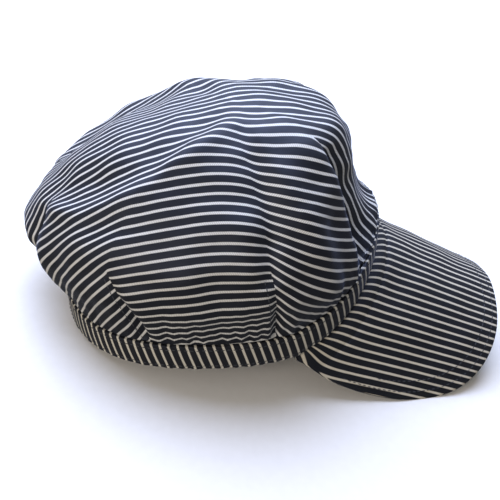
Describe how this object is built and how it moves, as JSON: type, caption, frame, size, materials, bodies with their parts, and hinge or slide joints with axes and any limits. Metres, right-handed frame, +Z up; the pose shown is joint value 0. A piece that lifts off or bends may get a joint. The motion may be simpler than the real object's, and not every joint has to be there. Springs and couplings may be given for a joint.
{
  "type": "railroad engineer cap",
  "caption": "Soft pleated engineer cap in hickory stripe cotton with a narrow band and a drooping bill, lying at rest.",
  "frame": {"origin": "centre of the bounding box's bottom face, on the surface that the empty cap rests on", "axes": "+Z up, -Y is where the bill points, -X is the wearer's right; the cap leans back on its band and on both side edges of its bill"},
  "size_m": [0.182, 0.299, 0.1426],
  "materials": {
    "crown_cloth": "soft striped cotton drill",
    "band_cloth": "striped cotton drill, cut across the stripe",
    "bill_cloth": "striped cotton drill over a stiff bill"
  },
  "bodies": {
    "root": {"crown": "crown_cloth", "headband": "band_cloth", "bill": "bill_cloth"}
  },
  "joints": []
}
